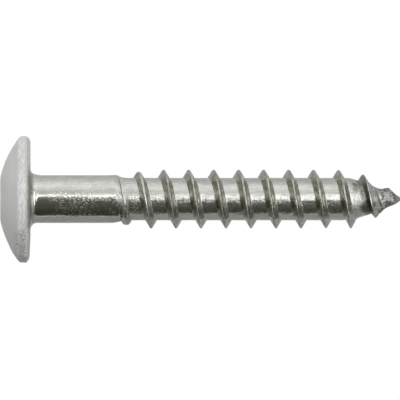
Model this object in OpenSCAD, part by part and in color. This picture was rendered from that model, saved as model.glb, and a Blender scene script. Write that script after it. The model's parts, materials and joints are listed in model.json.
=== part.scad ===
// Facade screw, 5.5 x 35 mm: a stainless wood-thread screw with a painted domed head.
// It is drawn along its own axis, with the seat under the head at 0 and the tip at +X,
// and is then laid down as it rests: on the head's rim and on two crests near the tip.

/* [Head] */
// Diameter of the head
head_d = 12; // [10:0.1:15]
// Height of the dome above the seat, before the drive recess is cut
head_h = 3.06; // [2.5:0.02:3.8]
// Radius of the rounded rim
rim_r = 0.65; // [0.5:0.01:0.8]
// How far the rim's roundness stands proud of the dome
rim_proud = 0.05; // [0.02:0.01:0.06]
// Radius of the fillet between the seat and the shank
neck_r = 0.65; // [0.4:0.01:0.8]

/* [Shank and thread] */
// Length from the seat to the tip
screw_l = 35; // [28:0.5:60]
// Length from the seat to where the shank steps down to the core of the thread
plain_l = 7.9; // [6.5:0.1:9.5]
// Length of that step
step_l = 0.9; // [0.7:0.1:1.2]
// Outer diameter of the thread
thread_d = 5.5; // [4.5:0.1:6.6]
// Height of the thread over its core
thread_h = 0.78; // [0.65:0.01:0.94]
// Distance between neighbouring crests
pitch = 2.36; // [1.9:0.01:2.9]
// Angle between the two flanks of the thread
flank_angle = 60; // [50:1:65]
// Width of the crest
crest_w = 0.18; // [0.1:0.01:0.22]
// Place of one crest, measured from the seat along the line where the thread's turns start
crest_at = 12.56; // [11:0.01:14]

/* [Point] */
// Length over which the core narrows to the tip
point_l = 4.9; // [4:0.1:6]
// Length over which the crest runs down to the tip
crest_point_l = 5.6; // [4.7:0.1:6.9]

/* [Six-lobe drive] */
// Size across two opposite lobes
drive_d = 3.95; // [3.2:0.01:4.7]
// Depth of the recess below the top of the dome
drive_depth = 2; // [1.6:0.1:2.2]

/* [Hidden] */

// Facets around the turned shapes, and steps in one turn of the thread
turn_fn = 96;
thread_steps = 48;

// The rim is a circle that touches the seat, and the dome is a sphere that it stands proud of
rim_at = head_d / 2 - rim_r;
dome_low = rim_r - rim_proud;
dome_r = (rim_at ^ 2 + (head_h - rim_r) ^ 2 - dome_low ^ 2) / (2 * (head_h - rim_r - dome_low));
dome_x = dome_r - head_h;
// The shoulder is the circle on which the dome meets the rim
rim_gap = norm([rim_at, dome_x + rim_r]);
rim_bend = acos((rim_gap ^ 2 + dome_r ^ 2 - rim_r ^ 2) / (2 * rim_gap * dome_r));
shoulder_turn = asin(rim_at / rim_gap) - rim_bend;
shoulder_r = dome_r * sin(shoulder_turn);
shoulder_x = dome_x - dome_r * cos(shoulder_turn);

// On a rolled screw the shank keeps the blank's radius, between the core's and the crest's
blank_share = 0.353;
thread_r = thread_d / 2;
core_r = thread_r - thread_h;
shank_r = core_r + blank_share * thread_h;
flank_tan = tan(flank_angle / 2);

// The first crest on that line, no more than this share of the pitch before the step.
// The ridge rises shortly before it, a little over the shank, and is full some turns later
crest_before_step = 0.25;
first_crest = crest_at - floor((crest_at - plain_l) / pitch + crest_before_step) * pitch;
ridge_from_turn = -75;
ridge_rise_turn = 40;
run_in_r = shank_r + 0.05;
run_in_turns = 1.5;
run_in_slope = (thread_r - run_in_r) / (run_in_turns * pitch);

// The flank ends this share of the height above the core, in a small blend to it
blend_share = 0.12;
blend_w = 0.06;
least_flank_w = 0.04;
core_power = 0.66;
tip_margin = 0.05;

// The core's skin starts well inside the shank, and has this many crests along one side
skin_crest = first_crest - pitch;
skin_x = skin_crest - 0.6 * pitch;
side_crests = ceil((screw_l - skin_crest) / pitch) + 1;
crest_points = 7;

// The size 20 six-lobe form has these proportions to its width across the lobes
waist_share = 2.85 / 3.95;
lobe_share = 0.305 / 3.95;
drive_waist = drive_d * waist_share;
lobe_r = drive_d * lobe_share;
lobe_at = drive_d / 2 - lobe_r;
flute_r = (lobe_r ^ 2 - lobe_at ^ 2 - drive_waist ^ 2 / 4 + lobe_at * drive_waist * cos(30))
    / (drive_waist - 2 * lobe_at * cos(30) - 2 * lobe_r);
flute_at = drive_waist / 2 + flute_r;
drive_cone_h = 0.35;
drive_cone_edge = 0.05;
clear = 1;

// How far a place on the axis is from the tip
function to_tip(x) = max(0, screw_l - x);

// The core's radius, which narrows to the tip in a full curve
function core_radius(x) = core_r * min(1, to_tip(x) / point_l) ^ core_power;

// The crest's radius as the run-in and the point allow it
function run_in_radius(x) = min(thread_r, run_in_r + run_in_slope * (x - first_crest));
function point_radius(x) = thread_r * sin(90 * min(1, to_tip(x) / crest_point_l));

// How much of the ridge has risen at a crest: nothing before its start, then all of it
function risen(x) =
    let (turn = 360 * (x - first_crest) / pitch)
    max(0, min(1, (turn - ridge_from_turn) / ridge_rise_turn));

function crest_radius(x) =
    let (core = core_radius(x), full = min(run_in_radius(x), point_radius(x)))
    core + max(0, full - core) * risen(x);

// Half of the crest's width: in the run-in the flanks are the full thread's, cut off lower
function crest_half(x) = crest_w / 2 + (thread_r - run_in_radius(x)) * flank_tan * risen(x);

// One pitch of the profile around the crest at x, as places on the axis with their radii
function ridge(x) =
    let (
        height = crest_radius(x) - core_radius(x),
        top = crest_half(x),
        low = top + max(least_flank_w, (1 - blend_share) * height * flank_tan),
        foot = low + blend_w
    )
    [
        [x - pitch / 2, core_radius(x - pitch / 2)],
        [x - foot, core_radius(x - foot)],
        [x - low, core_radius(x - low) + blend_share * height],
        [x - top, max(core_radius(x - top), crest_radius(x))],
        [x + top, crest_radius(x)],
        [x + low, core_radius(x + low) + blend_share * height],
        [x + foot, core_radius(x + foot)]
    ];

// The profile's points along the line at one step of a turn, as far as the tip
function profile_line(step) = [
    for (n = [0:side_crests - 1], p = ridge(skin_crest + (n + step / thread_steps) * pitch))
        if (p[0] < screw_l - tip_margin) p
];

// A place and a radius as a point, turned from +Y towards +Z by some steps
function turned(p, step) =
    let (turn = 360 * step / thread_steps)
    [p[0], p[1] * cos(turn), p[1] * sin(turn)];

// The triangles between two neighbouring lines. Each line is given as its start point, its
// first point and its length, and skip points of the right one come before their match
function strip(left, right, skip, tip) =
    let (
        a = left[1],
        b = right[1] + skip,
        shared = min(left[2], right[2] - skip) - 1
    )
    [
        [left[0], right[1], right[0]],
        for (i = [0:1:skip - 1]) [left[0], right[1] + i + 1, right[1] + i],
        [left[0], a, b],
        for (i = [0:1:shared - 1]) each [[a + i, a + i + 1, b + i], [b + i, a + i + 1, b + i + 1]],
        for (i = [shared:1:left[2] - 2]) [a + i, a + i + 1, b + shared],
        for (i = [shared:1:right[2] - skip - 2]) [a + shared, b + i + 1, b + i],
        [a + left[2] - 1, tip, b + right[2] - skip - 1]
    ];

// Core, ridge and point in one closed skin. Its grid follows the helix, so that each line
// of points meets the next one a little further along, and after a turn a whole pitch
module threaded_core() {
    steps = [0:thread_steps - 1];
    lines = [for (s = steps) profile_line(s)];
    sizes = [for (l = lines) len(l)];
    rings = 2 + thread_steps;
    firsts = [for (s = 0, at = rings; s < thread_steps; at = at + sizes[s], s = s + 1) at];
    points = [
        [skin_x, 0, 0],
        [screw_l, 0, 0],
        for (s = steps) turned([skin_x, core_r], s),
        for (s = steps, p = lines[s]) turned(p, s)
    ];
    faces = [
        for (s = steps)
            let (
                next = (s + 1) % thread_steps,
                left = [2 + s, firsts[s], sizes[s]],
                right = [2 + next, firsts[next], sizes[next]]
            )
            each concat([[0, 2 + s, 2 + next]], strip(left, right, next == 0 ? crest_points : 0, 1))
    ];
    polyhedron(points, faces, convexity = 20);
}

// Half of the turned shape's section, with the radius across and the screw's axis upwards
module half_section() {
    intersection() {
        translate([0, dome_x]) circle(dome_r, $fn = 4 * turn_fn);
        translate([0, -head_h - clear]) square([shoulder_r, head_h + clear]);
    }
    translate([rim_at, -rim_r]) circle(rim_r, $fn = turn_fn);
    polygon([[0, 0], [rim_at, 0], [rim_at, -rim_r], [shoulder_r, shoulder_x], [0, shoulder_x]]);
    difference() {
        square([shank_r + neck_r, neck_r]);
        translate([shank_r + neck_r, neck_r]) circle(neck_r, $fn = turn_fn);
    }
    square([shank_r, plain_l]);
    // The step goes on inside the core at the same slope
    polygon([
        [0, plain_l],
        [shank_r, plain_l],
        [2 * core_r - shank_r, plain_l + 2 * step_l],
        [0, plain_l + 2 * step_l]
    ]);
}

// Head, neck and plain shank, with the step down to the core
module turned_body() {
    rotate([0, 90, 0]) rotate_extrude($fn = turn_fn) half_section();
}

// The outline of the six-lobe drive: round lobes joined by round flutes
module six_lobe() {
    difference() {
        polygon([for (i = [0:11]) (i % 2 == 0 ? lobe_at : flute_at) * [cos(30 * i), sin(30 * i)]]);
        for (i = [0:5]) rotate(60 * i + 30) translate([flute_at, 0]) circle(flute_r, $fn = 96);
    }
    for (i = [0:5]) rotate(60 * i) translate([lobe_at, 0]) circle(lobe_r, $fn = 48);
}

// The room that the drive bit takes, with a shallow cone as its floor
module drive_recess() {
    recess_l = drive_depth + clear;
    translate([-head_h - clear, 0, 0]) rotate([0, 90, 0]) {
        linear_extrude(recess_l) six_lobe();
        translate([0, 0, recess_l])
            cylinder(drive_cone_h, drive_waist / 2 - drive_cone_edge, drive_cone_edge, $fn = turn_fn);
    }
}

// The crest's corners once the screw has rolled by some steps about its axis: their places
// on the axis, and their depths below it
function crest_depths(roll_steps) = [
    for (x = [first_crest + pitch : pitch / thread_steps : screw_l - tip_margin])
        let (turn = 360 * ((x - first_crest) / pitch + roll_steps / thread_steps))
        [x + crest_half(x), -crest_radius(x) * sin(turn)]
];

// The tilt at which the floor touches both the rim and such a corner
function lie_tilt(p) =
    let (dx = p[0] + rim_r, dz = rim_at - p[1])
    atan2(dz, dx) + asin(rim_r / norm([dx, dz]));

function rest_tilt(roll_steps) = min([for (p = crest_depths(roll_steps)) lie_tilt(p)]);

// The screw settles where it dips the most, because its weight is lowest there. Two
// neighbouring crests then touch the floor together
half_turn = thread_steps / 2;
roll_tries = [for (s = [-half_turn:half_turn - 1]) [rest_tilt(s), s]];
tilt = max([for (t = roll_tries) t[0]]);
roll = 360 * [for (t = roll_tries) if (t[0] == tilt) t[1]][0] / thread_steps;
head_end_x = dome_x * cos(tilt) - dome_r;
seat_x = -(screw_l * cos(tilt) + head_end_x) / 2;
seat_z = rim_at * cos(tilt) - rim_r * sin(tilt) + rim_r;

// The whole screw, lying on the floor with the middle of its length at the origin
module screw() {
    color("silver")
        translate([seat_x, 0, seat_z]) rotate([0, tilt, 0]) rotate([roll, 0, 0])
            difference() {
                union() {
                    turned_body();
                    threaded_core();
                }
                drive_recess();
            }
}

screw();
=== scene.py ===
import json
import math

import bpy
import numpy as np
from mathutils import Matrix, Vector


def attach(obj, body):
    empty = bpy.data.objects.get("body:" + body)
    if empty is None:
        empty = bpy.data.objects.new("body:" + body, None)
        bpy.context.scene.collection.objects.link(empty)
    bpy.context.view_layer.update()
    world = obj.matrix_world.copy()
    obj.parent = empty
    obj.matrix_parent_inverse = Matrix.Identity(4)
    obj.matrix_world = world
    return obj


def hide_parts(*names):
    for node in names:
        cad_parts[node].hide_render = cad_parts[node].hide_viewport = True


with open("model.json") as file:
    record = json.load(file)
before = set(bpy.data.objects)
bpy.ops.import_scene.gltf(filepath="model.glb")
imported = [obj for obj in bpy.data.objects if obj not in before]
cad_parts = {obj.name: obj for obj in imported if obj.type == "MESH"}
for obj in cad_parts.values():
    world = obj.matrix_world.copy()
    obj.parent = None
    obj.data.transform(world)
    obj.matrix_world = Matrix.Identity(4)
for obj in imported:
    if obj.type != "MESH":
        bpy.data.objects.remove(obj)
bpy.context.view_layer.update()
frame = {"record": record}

# Sizes in millimetres, along the screw's own axis: the seat is at 0 and the tip at +X
HEAD_D, HEAD_H, RIM_R, RIM_PROUD, NECK_R = 12.0, 3.06, 0.65, 0.05, 0.65
SCREW_L, THREAD_R, CORE_R, SHANK_R = 35.0, 2.775, 2.0, 2.255
PITCH, CREST_W, FIRST_CREST = 2.36, 0.10, 7.853
LAST_RIDGE = FIRST_CREST + 10 * PITCH
POINT_L, CORE_POWER = 4.9, 0.66
DRIVE_D, DRIVE_DEPTH, WAIST, LOBE_R = 3.95, 2.0, 2.85, 0.305
TAN30, HALF_TAN30 = math.tan(math.radians(30)), 0.2887

COLUMNS = 162
ROLL = math.radians(-22.5)


# The placement: the seat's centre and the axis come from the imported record
seat = next(m for m in frame["record"]["mounts"] if m["name"] == "bearing_face")
tilt = math.atan2(-seat["axis"][2], seat["axis"][0])
PLACE = (
    Matrix.Translation(seat["pos_m"])
    @ Matrix.Rotation(tilt, 4, "Y")
    @ Matrix.Rotation(ROLL, 4, "X")
)


def put(name, data):
    o = bpy.data.objects.new(name, data)
    bpy.context.scene.collection.objects.link(o)
    return o


# ---- The screw's shape as radii. Turns go round from the top of the picture ----
def smooth(t):
    return t * t * (3 - 2 * t)


def window(x, a, b, c, d):
    """Rises from a to b and falls from c to d."""
    return np.clip((x - a) / (b - a), 0, 1) * np.clip((d - x) / (d - c), 0, 1)


def bell(away, reach):
    return np.exp(-((away / reach) ** 2))


def uneven(x, turn, seed, step, around):
    """Smooth seeded noise, -1 to 1: cells of step mm along the screw, and so many round it."""
    values = np.random.default_rng(seed).uniform(-1, 1, (int(60 / step), around))
    across, along = turn / (2 * math.pi) * around, (x + 5) / step
    i, j = np.floor(along).astype(int), np.floor(across).astype(int)
    s, t = smooth(along - i), smooth(across - j)
    low = values[i, j % around] * (1 - t) + values[i, (j + 1) % around] * t
    high = values[i + 1, j % around] * (1 - t) + values[i + 1, (j + 1) % around] * t
    return low * (1 - s) + high * s


def eased(x, knots, values):
    """Goes from value to value, level at each knot."""
    i = np.clip(np.searchsorted(knots, x, side="right") - 1, 0, len(knots) - 2)
    knots, values = np.array(knots), np.array(values)
    s = np.clip((x - knots[i]) / (knots[i + 1] - knots[i]), 0, 1)
    return values[i] + (values[i + 1] - values[i]) * s * s * (3 - 2 * s)


def soft_max(a, b, k):
    """The larger of the two, rounded where they cross."""
    h = np.maximum(k - np.abs(a - b), 0) / k
    return np.maximum(a, b) + h * h * k / 4


def core_radius(x):
    to_tip = np.maximum(0, SCREW_L - x)
    return CORE_R * np.minimum(1, to_tip / POINT_L) ** CORE_POWER


def thread_turn(x):
    """How far round the thread has come at a crest's place, in degrees from its start."""
    return 360 * (x - FIRST_CREST) / PITCH


def run_in_radius(x):
    """How far out the crest reaches where the thread starts."""
    turns_in = (-75, 0, 60, 90, 120, 150, 180, 360, 450, 540)
    radii = (2.0, 2.03, 2.07, 2.13, 2.24, 2.35, 2.436, 2.592, 2.70, THREAD_R)
    return np.interp(thread_turn(x), turns_in, radii)


def point_radius(x):
    """How far out the crest may reach near the tip."""
    places = (26.8, 28.4, 30.2, 31.33, 32.6, 33.3, 33.8, SCREW_L)
    return np.interp(x, places, (THREAD_R, 2.745, 2.745, 2.31, 1.756, 1.15, 0.82, 0))


def risen(x):
    """0 where there is no ridge yet and 1 where it stands, with a short slope between."""
    return np.clip((thread_turn(x) + 75) / 40, 0, 1)


def crest_height(x):
    outside = np.minimum(run_in_radius(x), point_radius(x))
    return np.maximum(0, outside - core_radius(x)) * risen(x)


def crest_half(x):
    """Half the crest's width. The ridge is blunt where it isn't rolled to its full height."""
    blunt = np.interp(thread_turn(x), (200, 360), (0.85, 0.6))
    return CREST_W / 2 + blunt * (THREAD_R - run_in_radius(x)) * TAN30 * risen(x)


def turned_radius(x, turn):
    """Shank and step. The rolled thread pushes the step along where its first ridge starts."""
    knots = (0, 40, 84, 129, 150, 180, 270, 360)
    turn = math.degrees(turn) % 360
    start = eased(turn, knots, (8.20, 8.28, 8.53, 8.79, 8.50, 7.75, 8.00, 8.20))
    length = eased(turn, knots, (1.10, 0.30, 0.15, 0.16, 0.45, 1.30, 1.00, 1.10))
    power = eased(turn, knots, (2.5, 1.5, 1.1, 1.1, 1.1, 1.1, 2.0, 2.5))
    left = np.clip(1 - (x - start) / length, 0, 1)
    below = 0.5 * np.maximum(0, x - start - 0.8 * length)
    return CORE_R + (SHANK_R - CORE_R) * left**power - below


ROOT_ROWS, ARC_ROWS = 5, 4
LEAST_H, ROOT_FILLET, CREST_ROUNDING = 0.2, 0.06, 0.08


def half_ridge(x):
    """Offsets from the crest's middle and heights over the core, from the root to the crest."""
    risen_h, top = crest_height(x), crest_half(x)
    # The rows keep apart where the ridge has died away
    h = np.maximum(risen_h, LEAST_H)
    rounding = CREST_ROUNDING + 0.5 * (THREAD_R - run_in_radius(x))
    # At more than top / TAN30 the crest would have no flat left and its rows would meet
    corner = np.minimum(np.minimum(rounding, 0.6 * h), 0.93 * top / TAN30)
    fillet = np.minimum(ROOT_FILLET, 0.6 * h)
    foot, flat = top + h * TAN30, top - corner * TAN30
    reach = foot + fillet * TAN30
    d, z = [], []
    for k in range(ROOT_ROWS):
        s = (k + 0.5) / ROOT_ROWS if k else 0.12
        d.append(PITCH / 2 + (reach - PITCH / 2) * s)
        z.append(0 * h)
    for a in np.radians(np.linspace(0, 60, ARC_ROWS)):
        d.append(reach - fillet * math.sin(a))
        z.append(fillet * (1 - math.cos(a)))
    low, high = foot - fillet * HALF_TAN30, top + corner * HALF_TAN30
    for s in (1 / 3, 2 / 3):
        d.append(low + (high - low) * s)
        z.append(0.5 * fillet + (h - 0.5 * corner - 0.5 * fillet) * s)
    for a in np.radians(np.linspace(60, 0, ARC_ROWS)):
        d.append(flat + corner * math.sin(a))
        z.append(h - corner * (1 - math.cos(a)))
    d.append(flat * 0.5)
    z.append(h)
    return d, [row * risen_h / h for row in z]


SEAM_W, SEAM_DEPTH = 0.05, 0.045


def seam_place(turn):
    """Where the run-in's seam lies beside the crest's middle, and how open it is, 0 to 1."""
    aside = np.interp(turn, (0, 40, 130, 180, 300), (0.40, 0.34, 0.24, 0.05, 0))
    return aside, window(turn, 0, 25, 80, 130)


def thread_line(f):
    """Places and radii along the thread at one share of a turn, and how many rows a crest has."""
    crests = FIRST_CREST - PITCH + PITCH * (np.arange(0, 14) + f)
    d, z = half_ridge(crests)
    # In the run-in the crest is two lips with a seam between them. The lip on the tip's side
    # rises last, and until then the seam runs along the foot of the other one
    turn = thread_turn(crests)
    far_lip = np.clip((turn - 40) / 110, 0, 1)
    aside, split = seam_place(turn)
    d[-1] = d[-1] * (1 - split) + SEAM_W * split
    slopes = list(zip(d[:-1], z[:-1]))
    rows = [(-PITCH / 2 + 0 * crests, 0 * crests)]
    rows += [(-a, b) for a, b in slopes]
    rows += [
        (aside - d[-1], z[-1]),
        (aside, z[-1] * (1 + far_lip) / 2),
        (aside + d[-1], z[-1] * far_lip),
    ]
    rows += [(aside + a * (1 - aside), b * far_lip) for a, b in reversed(slopes)]
    x = np.array([crests + a for a, b in rows]).T.ravel()
    r = core_radius(x) + np.array([b for a, b in rows]).T.ravel()
    keep = x < SCREW_L - 0.05
    return x[keep], r[keep], len(rows)


def pitted(x, turn):
    """How far the squeezed part of the blank stands off its true radius."""
    fine = uneven(x, turn, 21, 0.34, 40) + uneven(x, turn, 22, 0.22, 60)
    return 0.0014 * fine * window(x, 1.6, 2.8, 7.5, 9.0)


def lapped(x, turn):
    """How the rolled metal near the point stands off its true radius, as a share of it."""
    rough = 0.05 * np.clip((x - 33) / 1, 0, 1) * uneven(x, turn, 31, 0.42, 9)
    return rough + 0.02 * np.clip((x - 31.5) / 2, 0, 1) * uneven(x, turn, 32, 0.22, 22)


# What the rolling heaped up or pressed in: place, degrees round, the reach along and round,
# and the height
DENTS = (
    (-0.65, 0, 0.90, 50, -0.035),
    (-1.60, 180, 0.50, 52, 0.16),
    (-0.25, 180, 0.25, 60, 0.07),
    (0.45, 0, 0.35, 60, 0.07),
    (7.90, 0, 0.20, 35, 0.065),
    (31.40, 0, 0.25, 40, 0.06),
    (32.65, 0, 0.45, 50, -0.12),
    (33.02, 0, 0.22, 42, -0.05),
    (33.20, 0, 0.15, 42, -0.03),
    (33.50, 0, 0.18, 42, 0.09),
    (33.84, 0, 0.27, 42, 0.18),
    (34.12, 0, 0.25, 42, 0.10),
    (29.85, 180, 0.15, 40, -0.10),
    (30.60, 180, 0.35, 40, 0.10),
    (33.00, 180, 0.28, 40, 0.13),
    (33.85, 180, 0.30, 45, -0.07),
)


def dented(x, turn):
    total = 0
    for at, round_at, reach, spread, height in DENTS:
        off = (np.degrees(turn) - round_at + 180) % 360 - 180
        total = total + height * bell(x - at, reach) * bell(off, spread)
    return total


def broadened(x, turn):
    """The last big ridge's tip side runs out in a broad slope."""
    after = x - (LAST_RIDGE + PITCH * np.degrees(turn) / 360)
    share = np.interp(np.degrees(turn), (0, 120, 200, 260), (0.15, 0.15, 0.13, 0))
    return share * bell(after - 0.42, 0.22)


def seam_cut(x, turn):
    """How deep the run-in's seam is cut."""
    cut = 0
    for lap in (0, 360):
        at = np.degrees(turn) + lap
        aside, split = seam_place(at)
        away = x - (FIRST_CREST + PITCH * at / 360 + aside)
        cut = cut + SEAM_DEPTH * split * bell(away, SEAM_W)
    return cut


def worked(x, r, turn):
    """The thread's radii with all that stands off the plain ridges, core and step."""
    over = np.clip((r - core_radius(x)) / 0.5, 0, 1)
    r = soft_max(r, turned_radius(x, turn), 0.05)
    r = r * (1 + lapped(x, turn) * (1 - 0.8 * over)) + pitted(x, turn) + dented(x, turn)
    r = r + broadened(x, turn) - seam_cut(x, turn)
    return r + 0.008 * np.clip((x - 8) / 2, 0, 1) * uneven(x, turn, 5, 0.8, 12) * (1 - over)


# ---- The screw's mesh. Its threaded part and its turned part meet on the shank ----
MEET_X = 4.2
turns = 2 * math.pi * np.arange(COLUMNS) / COLUMNS
points, faces = [], []


def add(x, y, z):
    points.append((x, y, z))
    return len(points) - 1


def add_ring(x, r):
    """One ring of the turned part: x and r may be numbers or one value a column."""
    x, r = np.broadcast_to(x, COLUMNS), np.broadcast_to(r, COLUMNS)
    return [add(x[j], r[j] * math.cos(t), r[j] * math.sin(t)) for j, t in enumerate(turns)]


def join(a, b):
    for j in range(COLUMNS):
        k = (j + 1) % COLUMNS
        faces.append((a[j], a[k], b[k], b[j]))


# The threaded part: each line of points meets the next one a little further along, and the
# last one meets the first a whole ridge further
grid = []
for j, turn in enumerate(turns):
    x, r, per_crest = thread_line(j / COLUMNS)
    r = worked(x, r, turn)
    grid.append([add(a, b * math.cos(turn), b * math.sin(turn)) for a, b in zip(x, r)])
tip = add(SCREW_L, 0, 0)
ring = add_ring(MEET_X, SHANK_R)
for j in range(COLUMNS):
    k = (j + 1) % COLUMNS
    left, right = grid[j], grid[k]
    skip = per_crest if k == 0 else 0
    if skip:
        faces.append((ring[j], ring[k], right[0]))
        faces += [(ring[j], right[i], right[i + 1]) for i in range(skip)]
        faces.append((ring[j], right[skip], left[0]))
    else:
        faces.append((ring[j], ring[k], right[0], left[0]))
    shared = min(len(left), len(right) - skip)
    for i in range(shared - 1):
        faces.append((left[i], right[skip + i], right[skip + i + 1], left[i + 1]))
    for i in range(shared - 1, len(left) - 1):
        faces.append((left[i], right[skip + shared - 1], left[i + 1]))
    for i in range(skip + shared - 1, len(right) - 1):
        faces.append((left[shared - 1], right[i], right[i + 1]))
    faces.append((left[-1], right[-1], tip))

# The dome's circle, and where it meets the rim's
rim_at, dome_low = HEAD_D / 2 - RIM_R, RIM_R - RIM_PROUD
dome_h = HEAD_H - RIM_R
dome_r = (rim_at**2 + dome_h**2 - dome_low**2) / (2 * (dome_h - dome_low))
dome_x = dome_r - HEAD_H
gap = math.hypot(rim_at, dome_x + RIM_R)
bend = math.acos((gap**2 + dome_r**2 - RIM_R**2) / (2 * gap * dome_r))
shoulder = math.asin(rim_at / gap) - bend
shoulder_x, shoulder_r = dome_x - dome_r * math.cos(shoulder), dome_r * math.sin(shoulder)
rim_end = math.atan2(-(shoulder_x + RIM_R), shoulder_r - rim_at)
# The dome's last plain ring before the recess, and how far out the head may reach
DOME_IN, OUTERMOST = 2.45, 5.988


def turned_outline():
    """Places and radii from the shank back over the neck, seat, rim and dome."""
    line = [(x, SHANK_R) for x in np.linspace(MEET_X - 0.1, NECK_R + 0.1, 38)]
    for a in np.radians(np.linspace(0, 90, 12)):
        line.append((NECK_R * (1 - math.sin(a)), SHANK_R + NECK_R * (1 - math.cos(a))))
    line += [(0, r) for r in np.linspace(SHANK_R + NECK_R, rim_at, 8)[1:]]
    for a in np.linspace(-math.pi / 2, rim_end, 26)[1:]:
        line.append((-RIM_R - RIM_R * math.sin(a), rim_at + RIM_R * math.cos(a)))
    for a in np.linspace(shoulder, math.asin(DOME_IN / dome_r), 22)[1:]:
        line.append((dome_x - dome_r * math.cos(a), dome_r * math.sin(a)))
    line = np.array(line)
    # The coat softens the crease between the rim and the dome
    for _ in range(6):
        near = np.abs(line[:, 0] - shoulder_x) < 0.22
        near[0] = near[-1] = False
        mean = (line[:-2] + line[2:]) / 2
        line[1:-1][near[1:-1]] = (line[1:-1] + mean)[near[1:-1]] / 2
    return line


# The rim leans back at the bottom of the picture
LEAN = 0.09
rings = [ring]
bottom = bell(np.degrees(turns) - 180, 45)
for x, r in turned_outline():
    lean = LEAN * bottom * np.clip((r - 3.6) / 1.9, 0, 1) * np.clip((x + 0.7) / 0.5, 0, 1)
    r = np.minimum(r + pitted(x, turns) + dented(x, turns), OUTERMOST)
    rings.append(add_ring(x - lean, r))

# The six-lobe recess: its mouth, walls and floor
COS30 = math.cos(math.pi / 6)
lobe_at = DRIVE_D / 2 - LOBE_R
flute_r = (LOBE_R**2 - lobe_at**2 - WAIST**2 / 4 + lobe_at * WAIST * COS30) / (
    WAIST - 2 * lobe_at * COS30 - 2 * LOBE_R
)
flute_at = WAIST / 2 + flute_r
apart = np.array([flute_at * COS30 - lobe_at, flute_at * 0.5])
meet = np.array([lobe_at, 0]) + apart / np.linalg.norm(apart) * LOBE_R
meet_turn = math.atan2(meet[1], meet[0])


def lobes(grow=0.0):
    """The recess's outline as radii, one a column; grow widens it evenly."""
    a = np.abs(turns % (math.pi / 3) - math.pi / 6)
    b = math.pi / 6 - a
    lobe, flute = LOBE_R + grow, flute_r - grow
    on_lobe = lobe_at * np.cos(a) + np.sqrt(np.maximum(0, lobe**2 - (lobe_at * np.sin(a)) ** 2))
    in_flute = flute_at * np.cos(b) - np.sqrt(
        np.maximum(0, flute**2 - (flute_at * np.sin(b)) ** 2)
    )
    return np.where(a < meet_turn, on_lobe, in_flute)


def on_dome(r):
    """Where the dome's surface is at a radius. It is flattened round the recess."""
    return np.maximum(dome_x - np.sqrt(dome_r**2 - r**2), -2.875 + 0.02 * r)


EDGE, CONE_H = 0.09, 0.35
mouth = lobes(EDGE)
for s in (0.35, 0.65, 0.85, 1.0):
    r = DOME_IN + (mouth - DOME_IN) * s
    rings.append(add_ring(on_dome(r), r))
for a in np.radians((22, 45, 68, 90)):
    r = lobes(EDGE * (1 - math.sin(a)))
    rings.append(add_ring(on_dome(mouth) + EDGE * (1 - math.cos(a)), r))
floor_x = -HEAD_H + DRIVE_DEPTH
wall = on_dome(mouth) + EDGE
for s in (0.25, 0.5, 0.75, 0.93, 1.0):
    rings.append(add_ring(wall + (floor_x - wall) * s, lobes()))
for s in (0.97, 0.88, 0.7, 0.5, 0.3, 0.12):
    r = lobes() * s
    rings.append(add_ring(floor_x + CONE_H * np.clip((WAIST / 2 - r) / (WAIST / 2), 0, 1), r))
for a, b in zip(rings[:-1], rings[1:]):
    join(b, a)
floor_mid = add(floor_x + CONE_H, 0, 0)
for j in range(COLUMNS):
    faces.append((floor_mid, rings[-1][(j + 1) % COLUMNS], rings[-1][j]))

mesh = bpy.data.meshes.new("facade_screw")
mesh.from_pydata([PLACE @ (Vector(p) / 1000) for p in points], [], faces)
mesh.update()
mesh.shade_smooth()
screw = put("facade_screw", mesh)
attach(screw, "root")
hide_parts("screw")


# ---- The screw's surface ----
class Graph:
    """Short ways to write a node tree."""

    def __init__(self, owner):
        owner.use_nodes = True
        self.tree = owner.node_tree
        self.tree.nodes.clear()

    def node(self, kind, inputs=(), **settings):
        n = self.tree.nodes.new(kind)
        for key, value in settings.items():
            setattr(n, key, value)
        for key, value in dict(inputs).items():
            self.set(n.inputs[key], value)
        return n

    def set(self, socket, value):
        if isinstance(value, bpy.types.NodeSocket):
            self.tree.links.new(value, socket)
        else:
            socket.default_value = value

    def math(self, operation, *values):
        return self.node("ShaderNodeMath", enumerate(values), operation=operation).outputs[0]

    def chain(self, operation, values):
        total = values[0]
        for value in values[1:]:
            total = self.math(operation, total, value)
        return total

    def plus(self, *values):
        return self.chain("ADD", values)

    def times(self, *values):
        return self.chain("MULTIPLY", values)

    def most(self, *values):
        return self.chain("MAXIMUM", values)

    def minus(self, a, b):
        return self.math("SUBTRACT", a, b)

    def off(self, value, middle):
        """How far a value is from the middle, either way."""
        return self.math("ABSOLUTE", self.minus(value, middle))

    def ramp(self, value, low, high, out_low=0.0, out_high=1.0):
        inputs = {
            "Value": value,
            "From Min": low,
            "From Max": high,
            "To Min": out_low,
            "To Max": out_high,
        }
        n = self.node("ShaderNodeMapRange", inputs, interpolation_type="SMOOTHSTEP")
        return n.outputs[0]

    def fall(self, value, low, high):
        return self.ramp(value, low, high, 1.0, 0.0)

    def hump(self, value, a, b, c, d):
        """Rises from a to b and falls from c to d."""
        return self.times(self.ramp(value, a, b), self.fall(value, c, d))

    def line(self, value, middle, inner, outer):
        """1 within inner of the middle, and 0 from outer on."""
        return self.fall(self.off(value, middle), inner, outer)

    def noise(self, vector, scale, detail=2.0, roughness=0.5, distortion=0.0):
        inputs = {
            "Vector": vector,
            "Scale": scale,
            "Detail": detail,
            "Roughness": roughness,
            "Distortion": distortion,
        }
        return self.node("ShaderNodeTexNoise", inputs).outputs["Fac"]

    def stretched(self, vector, *scale):
        return self.node("ShaderNodeMapping", {"Vector": vector, "Scale": scale}).outputs[0]

    def split(self, vector):
        return self.node("ShaderNodeSeparateXYZ", {0: vector}).outputs

    def mix(self, share, a, b):
        inputs = {"Factor": share, "A": a, "B": b}
        return self.node("ShaderNodeMix", inputs, data_type="RGBA").outputs["Result"]


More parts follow.
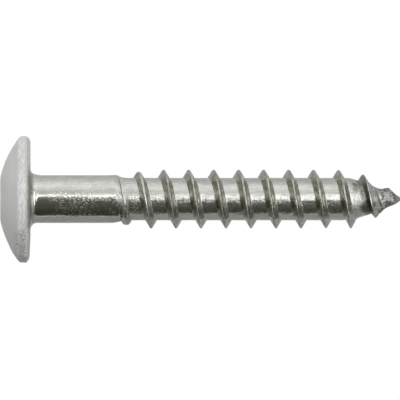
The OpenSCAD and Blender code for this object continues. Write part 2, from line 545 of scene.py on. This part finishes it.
def rgb(r, g, b):
    return (r, g, b, 1.0)


WHITE = rgb(1, 1, 1)

surface = bpy.data.materials.new("steel_with_painted_head")
g = Graph(surface)
coords = g.node("ShaderNodeTexCoord")
# Back to millimetres along the screw's own axis
back = PLACE.inverted()
mm = g.node(
    "ShaderNodeMapping",
    {
        "Vector": coords.outputs["Object"],
        "Location": back.translation * 1000,
        "Rotation": back.to_euler(),
        "Scale": (1000, 1000, 1000),
    },
).outputs[0]
x, y, z = g.split(mm)
radius = g.math("SQRT", g.plus(g.times(y, y), g.times(z, z)))
round_at = g.math("ARCTAN2", z, y)
axis = PLACE.to_3x3() @ Vector((1, 0, 0))
# How far the surface faces the tip, -1 to 1
along = g.node(
    "ShaderNodeVectorMath", {0: coords.outputs["Normal"], 1: axis}, operation="DOT_PRODUCT"
).outputs["Value"]


def patchy(scale, detail, roughness, low, high, *out):
    """Patches of noise on the screw, cut off between two levels."""
    return g.ramp(g.noise(mm, scale, detail, roughness), low, high, *out)


# The coat covers the head and ends unevenly under the rim
ragged = g.times(g.minus(g.noise(mm, 1.1, 2.0, 0.5), 0.5), 0.7)
under = g.ramp(g.plus(radius, ragged), 3.1, 3.7)
paint = g.most(g.fall(x, -0.06, -0.03), g.times(under, g.fall(x, 0.02, 0.03)))

# Paint: finely clouded; on the rim's band streaked, and lighter with a painted sheen that is
# whitest below its top
coat = g.mix(patchy(0.5, 2.0, 0.5, 0.3, 0.7), rgb(0.488, 0.49, 0.48), rgb(0.517, 0.519, 0.509))
streak = g.ramp(g.noise(g.stretched(mm, 1.35, 0.5, 0.5), 4.2, 2.0, 0.6), 0.36, 0.64)
# Painted sheen: the band's coat is lighter than the rest, and lighter still below the band's top
band_top_sheen = g.mix(streak, rgb(0.50, 0.502, 0.494), rgb(0.635, 0.635, 0.628))
band_low_sheen = g.mix(streak, rgb(0.57, 0.572, 0.563), rgb(0.74, 0.74, 0.732))
band_painted_sheen = g.mix(g.fall(y, 0.6, 2.6), band_top_sheen, band_low_sheen)
paint_colour = g.mix(g.hump(x, -1.38, -1.08, -0.56, -0.40), coat, band_painted_sheen)
# Painted light in patches low on the band, where light thrown up from the floor falls on the
# rim's back edge, and painted shade beside it, lower on the band
floor_bounce_light = g.times(g.ramp(x, -0.66, -0.44), g.fall(y, -3.4, -1.8), 0.8)
bounce_light_colour = g.mix(patchy(5.0, 2.0, 0.6, 0.40, 0.60), rgb(0.56, 0.56, 0.55), rgb(0.82, 0.82, 0.81))
paint_colour = g.mix(floor_bounce_light, paint_colour, bounce_light_colour)
low_band_shade = g.times(g.hump(x, -1.15, -0.95, -0.80, -0.66), g.fall(y, -3.6, -2.9), 0.55)
paint_colour = g.mix(low_band_shade, paint_colour, rgb(0.43, 0.43, 0.385))
# Dark specks, thickest where the rim's band is lowest in the picture, and along its bottom edge
dark_specks = g.times(
    patchy(4.6, 3.0, 0.7, 0.465, 0.555),
    g.ramp(x, -1.7, -1.2),
    g.ramp(x, -0.62, -0.38, 1.0, 0.15),
    g.ramp(y, -3.9, -2.2, 1.0, 0.14),
)
bottom_edge_specks = g.times(
    patchy(4.2, 3.0, 0.7, 0.42, 0.52),
    g.fall(y, -5.55, -5.2),
    g.ramp(x, -1.3, -1.0),
    g.ramp(x, -0.40, -0.25, 1.0, 0.2),
)
dark_specks = g.times(g.most(dark_specks, bottom_edge_specks), 0.95)
paint_colour = g.mix(dark_specks, paint_colour, rgb(0.31, 0.305, 0.28))
# A broken dark line along the rim, and painted shade on the seat
rim_line = g.times(
    g.hump(x, -0.37, -0.29, -0.20, -0.12),
    g.ramp(y, -3.4, -2.2),
    patchy(2.6, 3.0, 0.7, 0.42, 0.54),
    0.85,
)
paint_colour = g.mix(rim_line, paint_colour, rgb(0.28, 0.28, 0.26))
# Painted shade on the seat: darkest and olive across its middle
seat_middle_shade = g.fall(g.math("ABSOLUTE", y), 2.0, 3.6)
seat_shade_colour = g.mix(seat_middle_shade, rgb(0.50, 0.50, 0.485), rgb(0.20, 0.20, 0.165))
paint_colour = g.mix(g.ramp(x, -0.36, -0.12), paint_colour, seat_shade_colour)

# Steel: a warm grey; on the thread's flanks yellower, and darker as painted shade, a little more
# on the flanks that face the head
on_thread = g.ramp(x, 7.6, 9.2)
flank = g.times(g.ramp(g.math("ABSOLUTE", along), 0.35, 0.8), g.ramp(x, 8.3, 8.9))
crest = g.times(g.ramp(radius, 2.69, 2.75), on_thread)
long_stain = g.noise(g.stretched(mm, 0.35, 2.2, 2.2), 1.5, 3.0, 0.65)
stain = g.times(g.plus(g.noise(mm, 1.3, 3.0, 0.6), long_stain), 0.5)
steel = g.mix(g.ramp(stain, 0.38, 0.62), rgb(0.555, 0.555, 0.52), rgb(0.65, 0.65, 0.62))
mottle = patchy(2.1, 3.0, 0.65, 0.41, 0.60)
# Painted shade: the flanks' colours are darker than the steel's, with real mottling
to_head = g.mix(mottle, rgb(0.31, 0.305, 0.245), rgb(0.51, 0.505, 0.435))
to_tip = g.mix(mottle, rgb(0.32, 0.315, 0.27), rgb(0.54, 0.535, 0.485))
steel = g.mix(flank, steel, g.mix(g.ramp(along, -0.2, 0.2), to_head, to_tip))
crest_patches = patchy(1.1, 2.0, 0.6, 0.40, 0.60)
crest_colour = g.mix(crest_patches, rgb(0.35, 0.345, 0.30), rgb(0.57, 0.565, 0.52))
steel = g.mix(crest, steel, crest_colour)

# Painted shade on the step where the first ridge starts, darkest on its lower part
painted_step_shade = g.times(
    g.ramp(along, 0.04, 0.16), g.hump(x, 7.9, 8.2, 9.0, 9.3), g.fall(y, -0.2, 0.4)
)
step_shade_colour = g.mix(g.ramp(y, -0.7, -0.1), rgb(0.13, 0.13, 0.11), rgb(0.28, 0.28, 0.255))
step_shade_colour = g.mix(g.ramp(x, 8.65, 8.85), step_shade_colour, rgb(0.26, 0.26, 0.235))
steel = g.mix(g.times(painted_step_shade, 0.85), steel, step_shade_colour)
# The thin dark seam that the rolling left where the thread starts, and painted shade in a crease
# beside it
seam_x = g.plus(g.times(round_at, 0.312), g.times(g.noise(mm, 1.4), 0.10), 8.15)
seam_line = g.times(g.line(x, seam_x, 0.02, 0.065), g.hump(round_at, 0.3, 0.7, 2.4, 2.8))
crease_x = g.plus(g.times(round_at, 0.10), 8.27)
crease_shade = g.times(g.line(x, crease_x, 0.03, 0.12), g.hump(round_at, 1.75, 1.95, 2.5, 2.8), 0.8)
steel = g.mix(g.times(g.most(seam_line, crease_shade), 0.85), steel, rgb(0.17, 0.17, 0.14))
# The neck under the head is darker and olive in patches, more so higher up, with a dark line in
# it
neck_darkening = g.times(
    g.fall(x, 0.10, 0.36),
    patchy(1.6, 2.0, 0.6, 0.38, 0.55, 0.5, 1.0),
    g.ramp(y, -1.4, 1.0, 0.6, 1.0),
)
steel = g.mix(neck_darkening, steel, rgb(0.29, 0.29, 0.21))
neck_line = g.times(g.line(x, 0.33, 0.025, 0.065), g.hump(y, -1.75, -1.45, -0.2, 0.3), 0.8)
steel = g.mix(neck_line, steel, rgb(0.11, 0.11, 0.09))

# Dark smudges near the tip, the last one painted shade just past the second last ridge: place in
# mm, size, and share
BLOTS = (
    ((31.80, -0.70, 1.4), 1.05, 1.0),
    ((34.35, 0.0, 0.35), 0.40, 1.0),
    ((31.78, 0.45, 1.92), 0.50, 1.0),
    ((30.62, 1.40, 1.3), 0.42, 0.75),
    ((30.66, 0.95, 1.65), 0.40, 0.50),
    ((31.95, -1.15, 1.0), 0.50, 1.0),
    # Painted shade just past the second last ridge
    ((30.15, -0.42, 1.96), 0.24, 0.5),
)
torn = g.noise(mm, 3.0, 3.0, 0.7)


def blot(centre, size, share):
    """Dark near a place on the screw, with a ragged edge."""
    away = g.node("ShaderNodeVectorMath", {0: mm, 1: centre}, operation="DISTANCE")
    edge = g.plus(away.outputs["Value"], g.times(torn, 0.9 * size))
    return g.times(g.fall(edge, 0.9 * size, 1.35 * size), share)


# The last big ridge is stained all along the flank that faces the head
stained = g.times(
    g.fall(along, -0.6, -0.3),
    g.hump(x, 31.0, 31.2, 32.4, 32.7),
    g.ramp(z, -0.6, 0.2),
    g.ramp(torn, 0.30, 0.50, 0.55, 1.0),
    g.ramp(round_at, 0.45, 0.85, 0.35, 1.0),
)
# How far a place lies past that ridge's crest, in mm along the screw
past = g.minus(x, g.plus(g.times(round_at, PITCH / (2 * math.pi)), LAST_RIDGE))
near_side = g.ramp(z, -0.1, 0.3)
# A dark band on the core in front of it
before = g.times(
    g.hump(past, -1.02, -0.72, -0.45, -0.25),
    near_side,
    patchy(3.4, 2.0, 0.6, 0.35, 0.6, 0.35, 0.75),
)
# Dark lines where folds of metal meet near the tip
folds = g.line(g.noise(mm, 1.4, 3.0, 0.65, 0.6), 0.5, 0.018, 0.055)
folds = g.times(folds, g.ramp(x, 32.4, 33.3), 0.95)
# The broad slope behind that ridge is dull, and ends at a fold
slope = g.times(g.hump(past, 0.06, 0.16, 0.80, 1.00), near_side)
fold = g.times(
    g.hump(past, 0.72, 0.80, 0.88, 0.97),
    g.ramp(round_at, 0.8, 1.6, 0.2, 1.0),
    g.fall(round_at, 2.1, 2.5),
    0.9,
)
# The dark stains and folds, with the painted shade of the last blot
lap = g.most(*[blot(*b) for b in BLOTS], stained, before, folds, fold)
dulled = g.most(g.ramp(x, 32.2, 33.6), slope, g.times(g.ramp(x, 29.9, 30.5), 0.45))
dull_patches = patchy(1.7, 2.0, 0.6, 0.38, 0.62)
dull_colour = g.mix(dull_patches, rgb(0.30, 0.30, 0.282), rgb(0.49, 0.49, 0.468))
steel = g.mix(dulled, steel, dull_colour)
steel = g.mix(lap, steel, rgb(0.135, 0.13, 0.107))
# A painted highlight along that ridge's crest, on the near side
crest_painted_highlight = g.times(
    g.line(past, 0.02, 0.01, 0.07),
    near_side,
    g.ramp(round_at, 0.8, 1.5, 0.2, 1.0),
    g.fall(round_at, 1.9, 2.1),
    0.7,
)
steel = g.mix(crest_painted_highlight, steel, rgb(0.85, 0.85, 0.82))
colour = g.mix(paint, steel, paint_colour)

# Drawn lines along the axis, rolling marks round the core, pits where the blank was squeezed,
# a rough point, and powder in the coat. Heights are in mm
drawn = g.times(g.noise(g.stretched(mm, 0.16, 3.0, 3.0), 1.4, 2.0, 0.5), 0.014)
rolled = g.times(g.noise(g.stretched(mm, 6.0, 1.0, 1.0), 1.3, 2.0, 0.6), 0.030)
rolled = g.times(g.plus(rolled, g.times(g.noise(mm, 2.4, 2.0, 0.5), 0.045)), on_thread)
pit_share = g.times(
    g.ramp(x, 1.3, 2.6),
    g.ramp(x, 8.5, 13.5, 1.0, 0.06),
    g.minus(1.0, flank),
    g.ramp(g.off(x, 6.8), 0.4, 1.1, 0.4, 1.0),
)
cells = g.node("ShaderNodeTexVoronoi", {"Vector": mm, "Scale": 3.9}, feature="F1")
depth = g.node("ShaderNodeSeparateColor", {"Color": cells.outputs["Color"]}).outputs["Red"]
depth = g.plus(g.times(g.math("POWER", depth, 3.0), 0.022), 0.003)
pits = g.times(g.ramp(cells.outputs["Distance"], 0.05, 0.42), depth)
pits = g.times(g.plus(pits, g.times(g.noise(mm, 2.6, 2.0, 0.5), 0.016)), 0.38, pit_share)
specks = g.noise(mm, 4.0, 2.0, 0.6)
rough_tip = g.times(specks, g.ramp(x, 31.5, 33.5), 0.016)
bare_height = g.plus(drawn, rolled, pits, rough_tip)
powder = g.times(g.noise(mm, 5.5, 2.0, 0.6), 0.03)
height = g.plus(g.times(bare_height, g.minus(1.0, paint)), g.times(powder, paint))
bump = g.node("ShaderNodeBump", {"Height": height, "Distance": 0.001, "Strength": 1.0})

fleck = g.times(g.ramp(specks, 0.545, 0.615), pit_share)
bare_rough = g.plus(
    g.ramp(on_thread, 0.0, 1.0, 0.10, 0.25),
    g.times(lap, 0.15),
    g.times(fleck, 0.27),
    g.times(painted_step_shade, 0.25),
    g.times(flank, g.fall(x, 10.0, 15.5), 0.10),
    g.times(crest, 0.06),
    g.times(dulled, 0.15),
    g.times(slope, 0.25),
)
shader = g.node(
    "ShaderNodeBsdfPrincipled",
    {
        "Base Color": colour,
        "Metallic": g.minus(1.0, paint),
        "Roughness": g.most(bare_rough, g.times(paint, 0.5)),
        "Normal": bump.outputs[0],
    },
)
g.node("ShaderNodeOutputMaterial", {"Surface": shader.outputs[0]})
mesh.materials.append(surface)


# ---- Floor, light and camera ----
def stage_piece(name, points, faces, material):
    m = bpy.data.meshes.new(name)
    m.from_pydata(points, [], faces)
    m.materials.append(material)
    o = put(name, m)
    return o


def reflector(name, grid, strengths, tint=WHITE):
    """A card that only shiny surfaces see: rows of points, with one brightness a row."""
    m = bpy.data.materials.new(name)
    s = Graph(m)
    level = s.node("ShaderNodeAttribute", attribute_name="level").outputs["Fac"]
    e = s.node("ShaderNodeEmission", {"Color": tint, "Strength": level})
    s.node("ShaderNodeOutputMaterial", {"Surface": e.outputs[0]})
    wide = len(grid[0])
    points = [PLACE @ (Vector(p) / 1000) for row in grid for p in row]
    faces = [
        (i * wide + k, i * wide + k + 1, (i + 1) * wide + k + 1, (i + 1) * wide + k)
        for i in range(len(grid) - 1)
        for k in range(wide - 1)
    ]
    o = stage_piece(name, points, faces, m)
    values = o.data.attributes.new("level", "FLOAT", "POINT")
    values.data.foreach_set("value", [v for v in strengths for _ in range(wide)])
    o.visible_camera = o.visible_diffuse = o.visible_shadow = False


# The key's edge isn't level with the screw: places along it in mm, and degrees round it
DRIFT = (
    (-8.6, 1.6, 3.5, 8.6, 11.4, 20.4, 25.4, 31.4, 45.4),
    (6.5, 4.6, 4.3, 2.0, -3, -5, -7, -11, -13),
)
ARC_STEPS, ARC_COLUMNS = 24, 28


def arc_card(name, low, high, far, x0, x1, levels, tint=WHITE):
    """A card curved round the screw's axis, from low to high degrees off the camera's side.
    low and high each say how much of the drift that edge follows."""
    shares = np.linspace(0, 1, ARC_STEPS + 1)
    xs = np.linspace(x0, x1, ARC_COLUMNS)
    turn = np.interp(xs, *DRIFT)
    grid = []
    for s in shares:
        degrees = low[0] + (high[0] - low[0]) * s + turn * (low[1] + (high[1] - low[1]) * s)
        a = np.radians(degrees)
        grid.append([(px, far * math.sin(t), far * math.cos(t)) for px, t in zip(xs, a)])
    reflector(name, grid, np.interp(shares, np.linspace(0, 1, len(levels)), levels), tint)


def flat_card(name, centre, across, up, levels):
    c, a, u = Vector(centre), Vector(across), Vector(up)
    grid = [[c - a + u * s, c + a + u * s] for s in np.linspace(-1, 1, len(levels))]
    reflector(name, grid, levels)


THREAD_FROM, TIP_FROM = 10.4, 48
DARK_LEVELS = (0.04, 0.05, 0.05, 0.07, 0.09, 0.10, 0.12)
THREAD_LEVELS = (0.05, 0.08, 0.20, 1.10, 3.3, 2.1, 1.1, 0.9)
TIP_LEVELS = (0.05, 0.08, 0.15, 0.45, 1.6, 1.6, 1.1, 0.9)
LEFT_LEVELS = (0.02, 0.02, 0.01, 0.01, 0.01, 0.02, 0.9, 3.4, 2.2, 0.38, 0.36, 0.34, 0.36)
RIGHT_LEVELS = (0.50, 0.45, 0.75, 1.8, 0.85, 0.22, 0.26)
WARM = rgb(1, 1, 0.80)
arc_card("softbox", (10, 1), (67, 0), 140, -90, 130, (0.95, 0.72, 0.80, 1.05, 1.32))
# The bright edge, dimmer towards the step and left out beside the neck
for name, x0, x1, levels in (
    ("strip_light", 2.4, 7.4, (5, 6, 5)),
    ("strip_light_3", 7.4, THREAD_FROM, (2.6, 3.0, 2.6)),
    ("strip_light_2", -70, 0.4, (5, 6, 5)),
):
    arc_card(name, (12, 1), (14.2, 1), 130, x0, x1, levels)
arc_card("thread_glow", (-20, 1), (38, 1), 125, THREAD_FROM, TIP_FROM, THREAD_LEVELS)
arc_card("tip_glow", (-20, 1), (38, 1), 125, TIP_FROM, 105, TIP_LEVELS)
arc_card("dark_card", (-86, 0), (8, 1), 90, -40, THREAD_FROM, DARK_LEVELS + (0.18, 0.55), WARM)
arc_card("dark_card_2", (-86, 0), (-20, 1), 90, THREAD_FROM, 75, DARK_LEVELS, WARM)
flat_card("grey_card", (16, -80, -7), (90, 0, 0), (0, 74, 0), (0.42, 0.38, 0.35))
flat_card("right_card", (130, 10, 110), (11, 0, -13), (0, 90, 0), (2.8, 3.4, 2.8))
flat_card("left_end", (-170, 0, 60), (0, 0, 110), (0, 225, 0), LEFT_LEVELS)
flat_card("right_end", (200, 0, 60), (0, 0, -110), (0, 225, 0), RIGHT_LEVELS)

white = bpy.data.materials.new("floor_white")
s = Graph(white)
path = s.node("ShaderNodeLightPath").outputs
direct = s.most(path["Is Camera Ray"], path["Is Transmission Ray"])
seen = s.most(direct, path["Is Glossy Ray"])
floor_y = s.split(s.node("ShaderNodeTexCoord").outputs["Object"])[1]
# Painted shadow: by place on the floor, what the steel reflects of it is dim on the screw's
# shadow side and brightens past the screw
near = s.ramp(floor_y, -0.004, 0.026, 0.50, 1.10)
level = s.most(s.times(direct, 1.015), near)
glow = s.node("ShaderNodeEmission", {"Color": WHITE, "Strength": level})
dull = s.node("ShaderNodeBsdfDiffuse", {"Color": rgb(0.95, 0.95, 0.95)})
both = s.node(
    "ShaderNodeMixShader", {0: s.times(seen, 0.965), 1: dull.outputs[0], 2: glow.outputs[0]}
)
s.node("ShaderNodeOutputMaterial", {"Surface": both.outputs[0]})
stage_piece("floor", [(-1, -1, 0), (1, -1, 0), (1, 1, 0), (-1, 1, 0)], [(0, 1, 2, 3)], white)

world = bpy.data.worlds.new("world")
bpy.context.scene.world = world
w = Graph(world)
path = w.node("ShaderNodeLightPath").outputs
dim = w.node("ShaderNodeBackground", {"Color": WHITE, "Strength": 0.55})
shown = w.node("ShaderNodeBackground", {"Color": WHITE, "Strength": 1.0})
pick = w.node(
    "ShaderNodeMixShader", {0: path["Is Camera Ray"], 1: dim.outputs[0], 2: shown.outputs[0]}
)
w.node("ShaderNodeOutputWorld", {"Surface": pick.outputs[0]})

# A soft square lamp, placed in the screw's own directions and aimed at its seat
key = bpy.data.lights.new("key", "AREA")
key.shape, key.size, key.energy = "SQUARE", 0.16, 0.50
lamp = put("key", key)
lamp_at, lamp_aim = PLACE @ Vector((-0.040, 0.190, 0.230)), PLACE @ Vector((0, 0, 0))
lamp_turn = (lamp_at - lamp_aim).to_track_quat("Z", "Y").to_matrix().to_4x4()
lamp.matrix_world = Matrix.Translation(lamp_at) @ lamp_turn
lamp.visible_glossy = False

PICTURE_PX, PX_PER_MM = 400, 10.59
SENSOR, DISTANCE = 36, 0.650
camera = bpy.data.cameras.new("camera")
viewer = put("camera", camera)
bpy.context.scene.camera = viewer
camera.sensor_width = SENSOR
camera.lens = SENSOR * DISTANCE / (PICTURE_PX / PX_PER_MM / 1000)
camera.clip_start, camera.clip_end = 0.01, 10
# The photograph was taken a little from the head's side
aside = Matrix.Rotation(math.radians(-1.5), 4, "Y")
middle = Matrix.Translation((0.01601, -0.000083, 0))
viewer.matrix_world = PLACE @ middle @ aside @ Matrix.Translation((0, 0, DISTANCE))

view = bpy.context.scene.view_settings
view.view_transform = "Standard"
